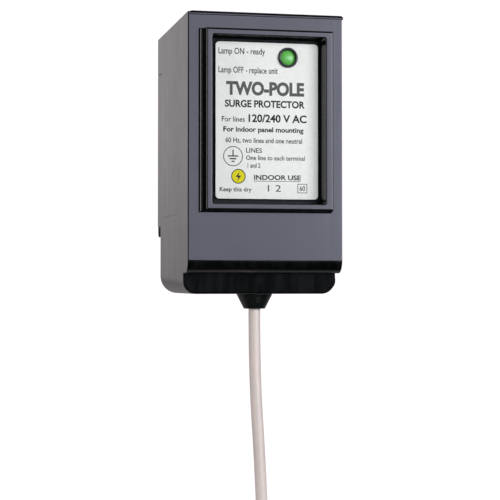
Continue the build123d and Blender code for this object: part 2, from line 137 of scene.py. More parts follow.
def cord_points():
    """The whole route: down with a drift to the right, round the coil, and straight down."""
    tail_x = COIL_START.x + COIL_TURNS * COIL_PITCH
    leave_z = COIL_START.z - COIL_RADIUS * tan(pi / POINTS_PER_TURN)
    tail = [(tail_x, COIL_START.y, leave_z), (tail_x, COIL_START.y, TAIL_LOW.z)]
    return ROUTE + coil_points() + tail


def smooth_curve(name, points, radius):
    """A round tube along a smooth spline with the points as its control points."""
    curve = bpy.data.curves.new(name, "CURVE")
    curve.dimensions = "3D"
    spline = curve.splines.new("NURBS")
    spline.points.add(len(points) - 1)
    for point, place in zip(spline.points, points):
        point.co = (*place, 1)
        point.radius = radius
    spline.order_u = 3
    spline.use_endpoint_u = True
    curve.resolution_u = 8
    curve.bevel_depth = 1
    curve.bevel_resolution = 8
    curve.use_fill_caps = True
    piece = bpy.data.objects.new(name, curve)
    bpy.context.scene.collection.objects.link(piece)
    return piece


# ---- node materials ----
def add_node(tree, kind, **values):
    """A shader node. Values named in capitals set an input, and the others set the node itself."""
    node = tree.nodes.new(kind)
    for key, value in values.items():
        if key[0].isupper():
            node.inputs[key.replace("_", " ")].default_value = value
        else:
            setattr(node, key, value)
    return node


def new_material(name, colour, roughness, **shader_values):
    """A material with a plain principled shader, to which the callers add detail."""
    material = bpy.data.materials.new(name)
    material.use_nodes = True
    tree = material.node_tree
    shader = tree.nodes["Principled BSDF"]
    shader.inputs["Base Color"].default_value = (*colour, 1)
    shader.inputs["Roughness"].default_value = roughness
    for key, value in shader_values.items():
        shader.inputs[key.replace("_", " ")].default_value = value
    return material, tree, shader


def stretched_place(tree, stretch):
    """The point in the row frame, multiplied along each axis."""
    place = add_node(tree, "ShaderNodeTexCoord")
    mapping = add_node(tree, "ShaderNodeMapping", Scale=stretch)
    tree.links.new(place.outputs["Object"], mapping.inputs["Vector"])
    return mapping.outputs["Vector"]


def noise(tree, size, stretch=(1, 1, 1), detail=4.0):
    """Noise whose blotches are about size metres across."""
    texture = add_node(tree, "ShaderNodeTexNoise", Scale=1 / size, Detail=detail)
    tree.links.new(stretched_place(tree, stretch), texture.inputs["Vector"])
    return texture.outputs["Fac"]


def remap(tree, value, from_low, from_high, to_low, to_high):
    node = add_node(
        tree,
        "ShaderNodeMapRange",
        From_Min=from_low,
        From_Max=from_high,
        To_Min=to_low,
        To_Max=to_high,
    )
    tree.links.new(value, node.inputs["Value"])
    return node.outputs["Result"]


def calculate(tree, operation, first, second):
    """Sum, product or other result of two sockets, or of a socket and a number."""
    node = add_node(tree, "ShaderNodeMath", operation=operation)
    for socket, value in zip(node.inputs, (first, second)):
        if isinstance(value, (int, float)):
            socket.default_value = value
        else:
            tree.links.new(value, socket)
    return node.outputs["Value"]


def mix_colours(tree, share, first, second):
    """first where share is 0 and second where it is 1. Each is a colour or a socket."""
    node = add_node(tree, "ShaderNodeMix", data_type="RGBA")
    tree.links.new(share, node.inputs["Factor"])
    for socket, value in ((node.inputs[6], first), (node.inputs[7], second)):
        if isinstance(value, tuple):
            socket.default_value = (*value, 1)
        else:
            tree.links.new(value, socket)
    return node.outputs[2]


def add_bump(tree, shader, height, distance, strength=1.0):
    """Bump of the given depth in metres, on top of any bump that is already there."""
    bump = add_node(tree, "ShaderNodeBump", Strength=strength, Distance=distance)
    tree.links.new(height, bump.inputs["Height"])
    normal = shader.inputs["Normal"]
    if normal.is_linked:
        tree.links.new(normal.links[0].from_socket, bump.inputs["Normal"])
    tree.links.new(bump.outputs["Normal"], normal)


def specks(tree, spacing, size, share):
    """1 inside small round dots, in about that share of the cells, and 0 elsewhere."""
    texture = add_node(tree, "ShaderNodeTexVoronoi", Scale=1 / spacing)
    tree.links.new(stretched_place(tree, (1, 1, 1)), texture.inputs["Vector"])
    dot = calculate(tree, "LESS_THAN", texture.outputs["Distance"], size / spacing)
    chosen = calculate(tree, "LESS_THAN", texture.outputs["Color"], share)
    return calculate(tree, "MULTIPLY", dot, chosen)


def edge_wear(tree, width):
    """Near 1 along edges and 0 on the flats, broken up by noise."""
    rounded = add_node(tree, "ShaderNodeBevel", Radius=width)
    flat = add_node(tree, "ShaderNodeNewGeometry")
    dot = add_node(tree, "ShaderNodeVectorMath", operation="DOT_PRODUCT")
    tree.links.new(rounded.outputs["Normal"], dot.inputs[0])
    tree.links.new(flat.outputs["Normal"], dot.inputs[1])
    worn = remap(tree, dot.outputs["Value"], 1.0, 0.93, 0.0, 1.0)
    return calculate(tree, "MULTIPLY", worn, noise(tree, 1.5 * MM))


def moulded_plastic(name, colour, roughness, gloss_level=0.5):
    """Dark plastic with faint flow streaks up and down, edge wear and a few dust specks."""
    material, tree, shader = new_material(
        name, colour, roughness, IOR=1.5, Specular_IOR_Level=gloss_level
    )
    streaks = noise(tree, 2.2 * MM, (1, 1, 0.04))
    mottle = noise(tree, 7 * MM)
    gloss = calculate(tree, "ADD", streaks, mottle)
    tree.links.new(
        remap(tree, gloss, 0.6, 1.4, roughness - 0.04, roughness + 0.05),
        shader.inputs["Roughness"],
    )
    lighter = tuple(part + 0.003 for part in colour)
    streaked = mix_colours(tree, remap(tree, streaks, 0.42, 0.62, 0, 1), colour, lighter)
    worn = mix_colours(tree, edge_wear(tree, 0.25 * MM), streaked, (0.03, 0.031, 0.032))
    dusty = mix_colours(tree, specks(tree, 6 * MM, 0.14 * MM, 0.3), worn, (0.5, 0.5, 0.48))
    tree.links.new(dusty, shader.inputs["Base Color"])
    add_bump(tree, shader, noise(tree, 5 * MM, (1, 1, 0.12), 1.0), 0.03 * MM)
    add_bump(tree, shader, streaks, 0.006 * MM)
    add_bump(tree, shader, noise(tree, 0.25 * MM, detail=2.0), 0.0012 * MM)
    return material


def case_plastic():
    return moulded_plastic("case_plastic", (0.0012, 0.0022, 0.0022), 0.18)


def dull_case():
    return moulded_plastic("dull_case", (0.0012, 0.0022, 0.0022), 0.55, 0.2)


def hook_plastic():
    return moulded_plastic("hook_plastic", (0.0012, 0.0012, 0.0012), 0.6, 0.12)


def relief_plastic():
    return moulded_plastic("relief_plastic", (0.004, 0.007, 0.006), 0.32)


def collar_plastic():
    return moulded_plastic("collar_plastic", (0.001, 0.0025, 0.0015), 0.22)


def carrier_plastic():
    return moulded_plastic("carrier_plastic", (0.045, 0.046, 0.05), 0.45)


def tie_nylon():
    return moulded_plastic("tie_nylon", (0.01, 0.01, 0.011), 0.38)


def label_film():
    """White printed film with a very faint cool mottle."""
    material, tree, shader = new_material(
        "label_film", (0.84, 0.87, 0.86), 0.45, IOR=1.46, Specular_IOR_Level=0.25
    )
    mottle = remap(tree, noise(tree, 1.2 * MM, detail=6.0), 0.35, 0.65, 0.0, 1.0)
    film = mix_colours(tree, mottle, (0.87, 0.895, 0.875), (0.92, 0.935, 0.915))
    tree.links.new(film, shader.inputs["Base Color"])
    add_bump(tree, shader, noise(tree, 0.4 * MM), 0.002 * MM)
    return material


def ink(name, colour):
    """Screen-printed ink with slightly uneven cover."""
    material, tree, shader = new_material(name, colour, 0.55, Specular_IOR_Level=0.15)
    cover = remap(tree, noise(tree, 0.5 * MM), 0.35, 0.7, 0.0, 1.0)
    thin = tuple(0.9 * part + 0.012 for part in colour)
    tree.links.new(mix_colours(tree, cover, colour, thin), shader.inputs["Base Color"])
    add_bump(tree, shader, cover, 0.002 * MM)
    return material


def lamp_green():
    """A lit green lens with a faint grain."""
    material, tree, shader = new_material(
        "lamp_green", (0.10, 0.42, 0.07), 0.3, IOR=1.5, Emission_Strength=0.25
    )
    grain = remap(tree, noise(tree, 0.8 * MM), 0.3, 0.7, 0.0, 1.0)
    lens = mix_colours(tree, grain, (0.08, 0.37, 0.06), (0.12, 0.46, 0.09))
    tree.links.new(lens, shader.inputs["Base Color"])
    tree.links.new(lens, shader.inputs["Emission Color"])
    add_bump(tree, shader, noise(tree, 0.5 * MM), 0.006 * MM)
    return material


def cord_jacket():
    """Pale, faintly pink insulation with the strands just showing through as ridges."""
    material, tree, shader = new_material("cord_jacket", (0.72, 0.63, 0.59), 0.4, IOR=1.5)
    along = noise(tree, 0.9 * MM, (1, 1, 0.08))
    share = remap(tree, along, 0.35, 0.65, 0, 1)
    tint = mix_colours(tree, share, (0.68, 0.62, 0.59), (0.77, 0.65, 0.60))
    tree.links.new(tint, shader.inputs["Base Color"])
    add_bump(tree, shader, along, 0.03 * MM)
    add_bump(tree, shader, noise(tree, 0.3 * MM), 0.006 * MM)
    return material


def brushed_metal(name, colour, roughness):
    """Bare metal with fine rolling lines and uneven tarnish."""
    material, tree, shader = new_material(name, colour, roughness, Metallic=1.0)
    lines = noise(tree, 0.15 * MM, (1, 1, 0.05))
    tarnish = remap(tree, noise(tree, 2.5 * MM), 0.4, 0.7, 0.0, 1.0)
    dull = tuple(0.55 * part for part in colour)
    tree.links.new(mix_colours(tree, tarnish, colour, dull), shader.inputs["Base Color"])
    tree.links.new(
        remap(tree, lines, 0.3, 0.7, roughness - 0.06, roughness + 0.1), shader.inputs["Roughness"]
    )
    add_bump(tree, shader, lines, 0.003 * MM)
    return material


def steel():
    return brushed_metal("steel", (0.56, 0.55, 0.53), 0.34)


def copper():
    return brushed_metal("copper", (0.86, 0.44, 0.27), 0.3)


def brass():
    return brushed_metal("brass", (0.80, 0.60, 0.27), 0.32)


def tinned_wire():
    return brushed_metal("tinned_wire", (0.70, 0.69, 0.67), 0.28)


def board_green():
    """Solder mask with faint wide tracks under it."""
    material, tree, shader = new_material("board_green", (0.02, 0.16, 0.06), 0.35)
    tracks = remap(tree, noise(tree, 4 * MM, (1, 1, 0.3)), 0.48, 0.52, 0.0, 1.0)
    mask = mix_colours(tree, tracks, (0.015, 0.12, 0.045), (0.03, 0.22, 0.08))
    tree.links.new(mask, shader.inputs["Base Color"])
    add_bump(tree, shader, tracks, 0.03 * MM)
    return material


def dipped_coat(name, colour, roughness):
    """A dipped, slightly orange-peel coating."""
    material, tree, shader = new_material(name, colour, roughness)
    shade = remap(tree, noise(tree, 1.5 * MM), 0.35, 0.65, 0.0, 1.0)
    dark = tuple(0.75 * part for part in colour)
    tree.links.new(mix_colours(tree, shade, colour, dark), shader.inputs["Base Color"])
    add_bump(tree, shader, noise(tree, 0.6 * MM), 0.02 * MM)
    return material


MAKERS = {
    "case_plastic": case_plastic,
    "hook_black": hook_plastic,
    "steel": steel,
    "label_print": label_film,
    "collar_black": collar_plastic,
    "lamp_green": lamp_green,
    "tinned_wire": tinned_wire,
    "board_green": board_green,
    "resistor_body": lambda: dipped_coat("resistor_body", (0.55, 0.40, 0.24), 0.4),
    "diode_body": lambda: dipped_coat("diode_body", (0.02, 0.02, 0.022), 0.35),
    "carrier_plastic": carrier_plastic,
    "terminal_brass": brass,
    "cord_jacket": cord_jacket,
    "tie_black": tie_nylon,
    "copper": copper,
    "varistor_coat": lambda: dipped_coat("varistor_coat", (0.03, 0.10, 0.35), 0.4),
    "fuse_body": lambda: dipped_coat("fuse_body", (0.75, 0.72, 0.66), 0.45),
}
MATERIALS = {slot: make() for slot, make in MAKERS.items()}
MATERIALS["relief"] = relief_plastic()
MATERIALS["dull_case"] = dull_case()
MATERIALS["ink_dark"] = ink("ink_dark", (0.012, 0.014, 0.014))
MATERIALS["ink_grey"] = ink("ink_grey", (0.10, 0.105, 0.10))
MATERIALS["ink_yellow"] = ink("ink_yellow", (0.86, 0.78, 0.0))


def node_slots():
    """Material slot of each CAD node, from the record."""
    return {part["node"]: part["material_slot"] for part in frame["record"]["subparts"]}


def paint(piece, material):
    piece.data.materials.clear()
    piece.data.materials.append(material)


# ---- mesh helpers ----
def new_piece(name, mesh, slot, body="housing", material=None):
    """A visible piece that rides on a body and takes its slot's material, or the one given."""
    piece = bpy.data.objects.new(name, mesh)
    bpy.context.scene.collection.objects.link(piece)
    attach(piece, body)
    paint(piece, material or MATERIALS[slot])
    return piece


def cad_copy(node):
    """A CAD node's shape as one joined-up mesh of whole faces."""
    mesh = frame["nodes"][node].data.copy()
    for attribute in [a for a in mesh.attributes if a.name == "custom_normal"]:
        mesh.attributes.remove(attribute)
    work = bmesh.new()
    work.from_mesh(mesh)
    bmesh.ops.remove_doubles(work, verts=work.verts, dist=1e-6)
    bmesh.ops.dissolve_limit(work, angle_limit=radians(0.4), verts=work.verts, edges=work.edges)
    work.to_mesh(mesh)
    work.free()
    return mesh


def add_bevel(piece, width, segments=3):
    """Breaks every sharp edge by the same width."""
    bevel = piece.modifiers.new("edges", "BEVEL")
    bevel.width = width
    bevel.segments = segments
    bevel.limit_method = "ANGLE"
    bevel.angle_limit = radians(35)
    bevel.use_clamp_overlap = False


def add_varied_bevel(piece, width_at, segments=4):
    """Breaks each sharp edge by its own width: width_at takes the middle of an edge."""
    widest = 1.0 * MM
    work = bmesh.new()
    work.from_mesh(piece.data)
    weights = work.edges.layers.float.new("bevel_weight_edge")
    for edge in work.edges:
        if len(edge.link_faces) == 2 and edge.calc_face_angle() > radians(35):
            first, second = edge.verts[0].co, edge.verts[1].co
            edge[weights] = width_at((first + second) / 2) / widest
    work.to_mesh(piece.data)
    work.free()
    bevel = piece.modifiers.new("edges", "BEVEL")
    bevel.width = widest
    bevel.segments = segments
    bevel.limit_method = "WEIGHT"
    bevel.use_clamp_overlap = False


def smooth_flats(piece, sharp_angle=50):
    """Round surfaces shade smoothly and flat ones stay flat."""
    piece.data.shade_smooth()
    piece.data.set_sharp_from_angle(angle=radians(sharp_angle))
    weighted = piece.modifiers.new("normals", "WEIGHTED_NORMAL")
    weighted.keep_sharp = True


def settle(piece):
    """Works the piece's modifiers into its mesh."""
    graph = bpy.context.evaluated_depsgraph_get()
    mesh = bpy.data.meshes.new_from_object(piece.evaluated_get(graph))
    piece.modifiers.clear()
    piece.data = mesh


def finished_mesh(name, work):
    """The faces built so far as a mesh, all of them facing outwards."""
    bmesh.ops.recalc_face_normals(work, faces=work.faces)
    mesh = bpy.data.meshes.new(name)
    work.to_mesh(mesh)
    work.free()
    return mesh


def curve_mesh(curve):
    """A text's or an outline's shape as a mesh."""
    holder = bpy.data.objects.new(curve.name, curve)
    bpy.context.scene.collection.objects.link(holder)
    bpy.context.view_layer.update()
    graph = bpy.context.evaluated_depsgraph_get()
    mesh = bpy.data.meshes.new_from_object(holder.evaluated_get(graph))
    bpy.data.objects.remove(holder)
    return mesh


def prism(outline, low, high, axis):
    """A closed solid: the outline's points, taken from low to high along an axis."""
    work = bmesh.new()
    rings = []
    for level in (low, high):
        ring = []
        for first, second in outline:
            place = [first, second]
            place.insert(axis, level)
            ring.append(work.verts.new(place))
        rings.append(ring)
    count = len(outline)
    for index in range(count):
        following = (index + 1) % count
        work.faces.new(
            (rings[0][index], rings[0][following], rings[1][following], rings[1][index])
        )
    work.faces.new(rings[0])
    work.faces.new(rings[1])
    return finished_mesh("prism", work)


def box_outline(low, high):
    return [(low[0], low[1]), (high[0], low[1]), (high[0], high[1]), (low[0], high[1])]


def circle_outline(centre, radius, count=24):
    return [
        (centre[0] + radius * cos(2 * pi * i / count), centre[1] + radius * sin(2 * pi * i / count))
        for i in range(count)
    ]


def rounded_loop(low, high, radius, steps=6):
    """Points round a rectangle with round corners."""
    points = []
    corners = [
        (high[0] - radius, high[1] - radius, 0),
        (low[0] + radius, high[1] - radius, 90),
        (low[0] + radius, low[1] + radius, 180),
        (high[0] - radius, low[1] + radius, 270),
    ]
    for x, z, start in corners:
        for step in range(steps + 1):
            angle = radians(start + 90 * step / steps)
            points.append((x + radius * cos(angle), z + radius * sin(angle)))
    return points


def ring_prism(inner, outer, low, high):
    """A closed ring from low to high in y, between two outlines in x and z with as many points."""
    work = bmesh.new()
    levels = ((inner, low), (outer, low), (outer, high), (inner, high))
    rings = [[work.verts.new((x, y, z)) for x, z in loop] for loop, y in levels]
    count = len(inner)
    for ring, beside in zip(rings, rings[1:] + rings[:1]):
        for index in range(count):
            following = (index + 1) % count
            work.faces.new((ring[index], ring[following], beside[following], beside[index]))
    return finished_mesh("ring", work)


def cut(piece, meshes):
    """Takes the solids out of the piece."""
    for mesh in meshes:
        cutter = bpy.data.objects.new("cutter", mesh)
        bpy.context.scene.collection.objects.link(cutter)
        boolean = piece.modifiers.new("cut", "BOOLEAN")
        boolean.object = cutter
        boolean.solver = "EXACT"
        settle(piece)
        bpy.data.objects.remove(cutter)


def softened(node, name, width, material=None):
    """A detailed stand-in for a CAD node: the same shape with its edges broken."""
    body = frame["nodes"][node]["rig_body"]
    piece = new_piece(name, cad_copy(node), SLOTS[node], body, material)
    add_bevel(piece, width)
    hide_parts(node)
    smooth_flats(piece)
    return piece


SLOTS = node_slots()


# ---- case ----
def true_faces(mesh):
    """Leans the set-back lower end, its foot furthest back, and squares the frame's lower lip."""
    lean = 0.8 * MM
    lip = 0.6 * FRAME_DRAFT
    near = 0.05 * MM
    for vertex in mesh.vertices:
        place = vertex.co
        if abs(place.y - SETBACK_Y) < near and place.z < HOOD_Z + near:
            place.y -= lean * (place.z - COVER_LOW.z) / HOOD_RISE
        if place.y < COVER_LOW.y + near and place.z < WELL_LOW_Z - 0.5 * MM:
            place.z -= lip


def cover_cuts():
    """Fine moulding lines of the front shell."""
    witness_z = COVER_LOW.z + 25.8 * MM
    seam_y = SETBACK_Y + 1.1 * MM
    outer = COVER_HIGH.x + 1 * MM
    witness = box_outline(
        (COVER_LOW.x + 0.7 * MM, witness_z - 0.06 * MM),
        (COVER_LOW.x + 3.7 * MM, witness_z + 0.06 * MM),
    )
    seam = box_outline((-outer, seam_y - 0.1 * MM), (outer, seam_y + 0.1 * MM))
    return [
        prism(witness, FRONT_Y - 1 * MM, FRONT_Y + 0.1 * MM, 1),
        prism(seam, COVER_LOW.z - 1 * MM, COVER_LOW.z + 0.12 * MM, 2),
    ]


def in_well(place, margin):
    """Whether a place lies within the well, seen from the front."""
    across = abs(place.x) < WELL_HALF - margin
    return across and WELL_LOW_Z + margin < place.z < WELL_HIGH_Z - margin


def cover_edge_width(place):
    """How round an edge of the cover is, from where its middle lies."""
    if place.y < COVER_LOW.y + 0.1 * MM:
        return 0.35 * MM if in_well(place, -0.5 * MM) else 0.6 * MM
    at_side = abs(place.x) > COVER_HIGH.x - 0.5 * MM
    by_hood = place.z < HOOD_Z + HOOD_ROUND + 0.1 * MM and place.y < SETBACK_Y + 0.1 * MM
    behind_front = place.y > FRONT_Y + 0.5 * MM and abs(place.y - SETBACK_Y) > 1.2 * MM
    inside_half = 24 * MM
    hidden = behind_front and abs(place.x) < inside_half and place.z > COVER_LOW.z + 1 * MM
    if in_well(place, 0.1 * MM) or hidden or (at_side and by_hood):
        return 0.0
    if place.y < FRONT_Y - 0.2 * MM:
        return 0.3 * MM
    if abs(place.y - FRONT_Y) < 0.1 * MM and not at_side:
        frame_left = place.x < -WELL_HALF
        return 0.8 * MM if frame_left else 0.2 * MM
    if place.z < HOOD_Z - 0.3 * MM and place.y < SETBACK_Y + 0.1 * MM:
        return 0.7 * MM
    if at_side and place.z > HOOD_Z + 0.5 * MM and place.y < SETBACK_Y - 1.5 * MM:
        return 0.5 * MM if place.x < 0 else 0.3 * MM
    return 0.1 * MM


def label_moat():
    """The dark channel in the well's floor, between the label and the well's walls."""
    under = 0.05 * MM
    inner_low = (LABEL_LOW.x + under, LABEL_LOW.z + under)
    inner_high = (LABEL_HIGH.x - under, LABEL_HIGH.z - under)
    inner = rounded_loop(inner_low, inner_high, 1.15 * MM)
    side = WELL_HALF - 1.05 * MM
    outer = rounded_loop((-side, WELL_LOW_Z + 0.4 * MM), (side, LABEL_HIGH.z + 0.4 * MM), 1.2 * MM)
    return ring_prism(inner, outer, LABEL_LOW.y, LABEL_HIGH.y + 1.2 * MM)


def add_dull_faces(piece):
    """The case's top, and the well's floor round the label, have a dull finish."""
    piece.data.materials.append(MATERIALS["dull_case"])
    for face in piece.data.polygons:
        deep = LABEL_LOW.y - 0.3 * MM < face.center.y < FRONT_Y + 4 * MM
        places = [piece.data.vertices[index].co for index in face.vertices]
        on_top = face.normal.z > 0.99 and face.center.z > COVER_HIGH.z - 0.5 * MM
        if on_top or (deep and all(in_well(place, 0.0) for place in places)):
            face.material_index = 1


def cover_shell():
    """The front shell. Its channel is cut before its edges are rounded."""
    piece = new_piece("cover_shell", cad_copy("front_cover"), "case_plastic")
    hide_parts("front_cover")
    true_faces(piece.data)
    cut(piece, [label_moat()])
    add_varied_bevel(piece, cover_edge_width)
    settle(piece)
    cut(piece, cover_cuts())
    add_dull_faces(piece)
    smooth_flats(piece)
    return piece


def bead_edge_width(place):
    """How round an edge of the bead is: more above the case's top than below it."""
    return 0.8 * MM if place.z > COVER_HIGH.z else 0.28 * MM


def top_bead():
    """The rounded bead along the cover's top front edge, which ends just past its right side."""
    left, right = COVER_LOW.x + 0.6 * MM, COVER_HIGH.x + 0.4 * MM
    low = (FRONT_Y - 0.14 * MM, COVER_HIGH.z - 1.05 * MM)
    high = (FRONT_Y + 1.3 * MM, COVER_HIGH.z + 0.3 * MM)
    piece = new_piece("top_bead", prism(box_outline(low, high), left, right, 0), "case_plastic")
    add_varied_bevel(piece, bead_edge_width, 6)
    smooth_flats(piece)
    return piece


def base_shell():
    """The rear shell, with its edges broken and its top dull."""
    piece = new_piece("base_shell", cad_copy("rear_base"), "case_plastic")
    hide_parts("rear_base")
    add_bevel(piece, 0.12 * MM)
    settle(piece)
    add_dull_faces(piece)
    smooth_flats(piece)
    return piece


# ---- label printing ----
PRINT_PROUD = 0.02 * MM
PRINT_SINK = 0.03 * MM
CAPITAL_HEIGHT = 0.682  # of the built-in typeface at size 1


def lettering_mesh(words, left, right, middle, height, weight):
    """Words as a thin solid on the label, from left to right and height tall, in millimetres."""
    curve = bpy.data.curves.new("words", "FONT")
    curve.body = words
    curve.offset = weight
    curve.extrude = 0.5
    curve.resolution_u = 4
    mesh = curve_mesh(curve)
    low = min(vertex.co.x for vertex in mesh.vertices)
    high = max(vertex.co.x for vertex in mesh.vertices)
    across = (right - left) * MM / (high - low)
    tall = height * MM / CAPITAL_HEIGHT
    base = (middle - height / 2) * MM
    for vertex in mesh.vertices:
        depth = -PRINT_PROUD if vertex.co.z > 0 else PRINT_SINK
        vertex.co = (
            left * MM + (vertex.co.x - low) * across,
            LABEL_LOW.y + depth,
            base + vertex.co.y * tall,
        )
    return mesh


def printed_shape(loops):
    """A filled flat shape with its holes as a thin solid on the label. Loops are in millimetres."""
    curve = bpy.data.curves.new("shape", "CURVE")
    curve.dimensions = "2D"
    curve.fill_mode = "BOTH"
    curve.extrude = 0.5
    for loop in loops:
        spline = curve.splines.new("POLY")
        spline.points.add(len(loop) - 1)
        for point, (x, z) in zip(spline.points, loop):
            point.co = (x, z, 0, 1)
        spline.use_cyclic_u = True
    mesh = curve_mesh(curve)
    for vertex in mesh.vertices:
        depth = -PRINT_PROUD if vertex.co.z > 0 else PRINT_SINK
        vertex.co = (vertex.co.x * MM, LABEL_LOW.y + depth, vertex.co.y * MM)
    return mesh


def joined(name, meshes):
    """Several meshes as one."""
    work = bmesh.new()
    for mesh in meshes:
        work.from_mesh(mesh)
    bmesh.ops.remove_doubles(work, verts=work.verts, dist=1e-7)
    return finished_mesh(name, work)


def ring_loops(centre, outer, inner):
    """The two circles of a flat ring."""
    return [circle_outline(centre, outer, 40), circle_outline(centre, inner, 40)]


def bar(left, right, middle, height):
    """A rectangle's outline, placed by its middle in height."""
    return box_outline((left, middle - height / 2), (right, middle + height / 2))


def earth_symbol(x, z):
    """Upright line over three bars, each shorter than the last."""
    return [
        bar(x - 0.2, x + 0.2, z + 1.0, 2.0),
        bar(x - 1.7, x + 1.7, z, 0.4),
        bar(x - 1.1, x + 1.1, z - 0.85, 0.4),
        bar(x - 0.5, x + 0.5, z - 1.7, 0.4),
    ]


def bolt_symbol(x, z):
    """A zigzag flash."""
    points = [(0.4, 1.6), (-0.9, -0.25), (-0.05, -0.25), (-0.4, -1.6), (0.9, 0.25), (0.05, 0.25)]
    return [(x + a, z + b) for a, b in points]


# Words, left, right, middle and height in millimetres on the label, and the strokes' weight.
DARK_LINES = [
    ("Lamp ON - ready", -15.7, -0.5, 26.0, 1.9, 0.012),
    ("Lamp OFF - replace unit", -15.7, 3.7, 19.95, 1.9, 0.012),
    ("SURGE PROTECTOR", -13.6, 12.6, 9.2, 2.1, 0.032),
    ("For lines", -14.6, -7.1, 4.2, 1.6, 0.014),
    ("120/240 V AC", -5.9, 13.2, 4.6, 2.3, 0.028),
    ("For indoor panel mounting", -14.1, 12.2, 1.0, 1.5, 0.03),
    ("60 Hz, two lines and one neutral", -13.4, 11.7, -2.5, 1.5, 0.016),
    ("LINES", -6.7, -1.5, -5.7, 1.5, 0.012),
    ("One line to each terminal", -6.7, 12.6, -8.05, 1.4, 0.014),
    ("1 and 2", -6.2, -2.1, -10.5, 1.45, 0.014),
    ("INDOOR USE", -4.1, 11.3, -14.3, 1.45, 0.028),
    ("Keep this dry", -15.3, -4.9, -18.2, 1.3, 0.018),
    ("1 2", 0.4, 4.7, -17.75, 2.1, 0.0),
    ("60", 10.9, 12.7, -17.7, 1.5, 0.01),
]
EARTH_CENTRE = (-10.95, -7.65)
DISC_CENTRE = (-9.2, -14.05)
DISC_RADIUS = 2.05


def label_printing():
    """The dark words and marks, the grey title and the yellow disc."""
    words = [lettering_mesh(*line) for line in DARK_LINES]
    shapes = [
        printed_shape(ring_loops(EARTH_CENTRE, 3.2, 2.95)),
        printed_shape(earth_symbol(EARTH_CENTRE[0], EARTH_CENTRE[1] + 0.05)),
        printed_shape([bar(-4.1, 11.2, -15.5, 0.16)]),
        printed_shape([bar(10.2, 13.4, -17.7, 3.0), bar(10.4, 13.2, -17.7, 2.6)]),
        printed_shape(ring_loops(DISC_CENTRE, DISC_RADIUS + 0.3, DISC_RADIUS)),
        printed_shape([bolt_symbol(*DISC_CENTRE)]),
    ]
    dark = joined("label_lettering", words + shapes)
    new_piece("label_lettering", dark, "label_print", material=MATERIALS["ink_dark"])
    title = joined("label_title", [lettering_mesh("TWO-POLE", -13.2, 12.4, 14.1, 3.9, 0.045)])
    new_piece("label_title", title, "label_print", material=MATERIALS["ink_grey"])
    disc = printed_shape([circle_outline(DISC_CENTRE, DISC_RADIUS, 40), bolt_symbol(*DISC_CENTRE)])
    new_piece("label_disc", disc, "label_print", material=MATERIALS["ink_yellow"])


# ---- cord's tie and bare end ----
def evenly(points, gap):
    """Points about gap apart along a closed line."""
    spaced = []
    for (x0, z0), (x1, z1) in zip(points, points[1:] + points[:1]):
        length = ((x1 - x0) ** 2 + (z1 - z0) ** 2) ** 0.5
        count = max(1, round(length / gap))
        for step in range(count):
            share = step / count
            spaced.append((x0 + (x1 - x0) * share, z0 + (z1 - z0) * share))
    return spaced


def strap_mesh(loop, thick, y_low, y_high, tooth):
    """A closed band round the loop, with fine ridges across its outside."""
    work = bmesh.new()
    count = len(loop)
    rings = []
    for index, (x, z) in enumerate(loop):
        before, after = Vector(loop[index - 1]), Vector(loop[(index + 1) % count])
        along = (after - before).normalized()
        out = Vector((along.y, -along.x))
        rise = thick + (tooth if index % 2 else 0)
        edge = 0.6 * MM
        profile = [
            (0, y_low),
            (thick * 0.8, y_low),
            (thick, y_low + edge * 0.4),
            (thick, y_low + edge),
            (rise, y_low + edge * 1.1),
            (rise, y_high - edge * 1.1),
            (thick, y_high - edge),
            (thick, y_high - edge * 0.4),
            (thick * 0.8, y_high),
            (0, y_high),
        ]
        rings.append([work.verts.new((x + out.x * a, y, z + out.y * a)) for a, y in profile])
    for index in range(count):
        one, two = rings[index], rings[(index + 1) % count]
        for side in range(len(one)):
            following = (side + 1) % len(one)
            work.faces.new((one[side], one[following], two[following], two[side]))
    return finished_mesh("strap", work)


def cord_tie():
    """A ratchet tie round the coil's turns: strap, head and cut tail."""
    gap = 0.15 * MM
    thick = 0.8 * MM
    inset = 1.05 * MM
    low = (TIE_LOW.x + inset, TIE_LOW.z + inset)
    high = (TIE_HIGH.x - inset, TIE_HIGH.z - inset)
    loop = evenly(rounded_loop(low, high, CORD_RADIUS + gap), 0.45 * MM)
    middle_y = (TIE_LOW.y + TIE_HIGH.y) / 2
    strap = strap_mesh(loop, thick, TIE_LOW.y, TIE_HIGH.y, 0.12 * MM)
    centre_x = (TIE_LOW.x + TIE_HIGH.x) / 2
    head_low = (centre_x - 2.4 * MM, middle_y - 2.7 * MM)
    head_high = (centre_x + 2.4 * MM, middle_y + 2.7 * MM)
    under = TIE_LOW.z
    head = prism(box_outline(head_low, head_high), under - 2.4 * MM, under + 0.7 * MM, 2)
    tail_low = (centre_x + 0.2 * MM, under - 5.0 * MM)
    tail_high = (centre_x + 1.2 * MM, under - 1.5 * MM)
    tail = prism(box_outline(tail_low, tail_high), middle_y - 2.1 * MM, middle_y + 2.1 * MM, 1)
    piece = new_piece("cord_tie", joined("cord_tie", [strap, head, tail]), "tie_black")
    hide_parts("hank_tie")
    add_bevel(piece, 0.12 * MM, 2)
    smooth_flats(piece)
    return piece


def tube(work, points, radius, sides=8):
    """A round closed tube along points that run mostly downwards."""
    rings = []
    for place in points:
        ring = [
            work.verts.new(
                place + Vector((radius * cos(2 * pi * i / sides), radius * sin(2 * pi * i / sides), 0))
            )
            for i in range(sides)
        ]
        rings.append(ring)
    for one, two in zip(rings, rings[1:]):
        for i in range(sides):
            following = (i + 1) % sides
            work.faces.new((one[i], two[i], two[following], one[following]))
    work.faces.new(rings[0])
    work.faces.new(rings[-1])


